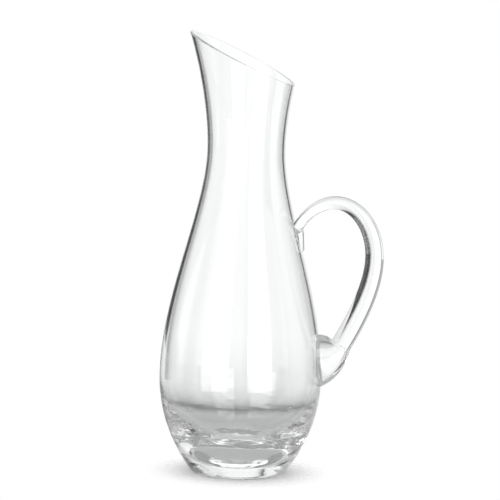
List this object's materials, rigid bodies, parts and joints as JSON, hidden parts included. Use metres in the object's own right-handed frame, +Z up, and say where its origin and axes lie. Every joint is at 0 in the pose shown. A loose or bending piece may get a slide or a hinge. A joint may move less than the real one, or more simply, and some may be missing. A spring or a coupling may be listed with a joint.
{
  "type": "glass carafe",
  "caption": "Clear glass carafe with a slanted pouring mouth, a pear-shaped body on a heavy base and a drawn loop handle.",
  "frame": {"origin": "centre of the foot, on the plane that the carafe stands on and on the vessel's axis", "axes": "+Z up along the vessel's axis, +X towards the handle, so the high pouring lip is on the -X side"},
  "size_m": [0.1514, 0.1104, 0.2992],
  "materials": {
    "vessel_glass": "clear colourless soda-lime glass, blown and fire-polished",
    "handle_glass": "clear colourless solid glass, drawn hot"
  },
  "bodies": {
    "root": {"vessel": "vessel_glass", "handle": "handle_glass", "lower_seal_pad": "handle_glass"}
  },
  "joints": []
}
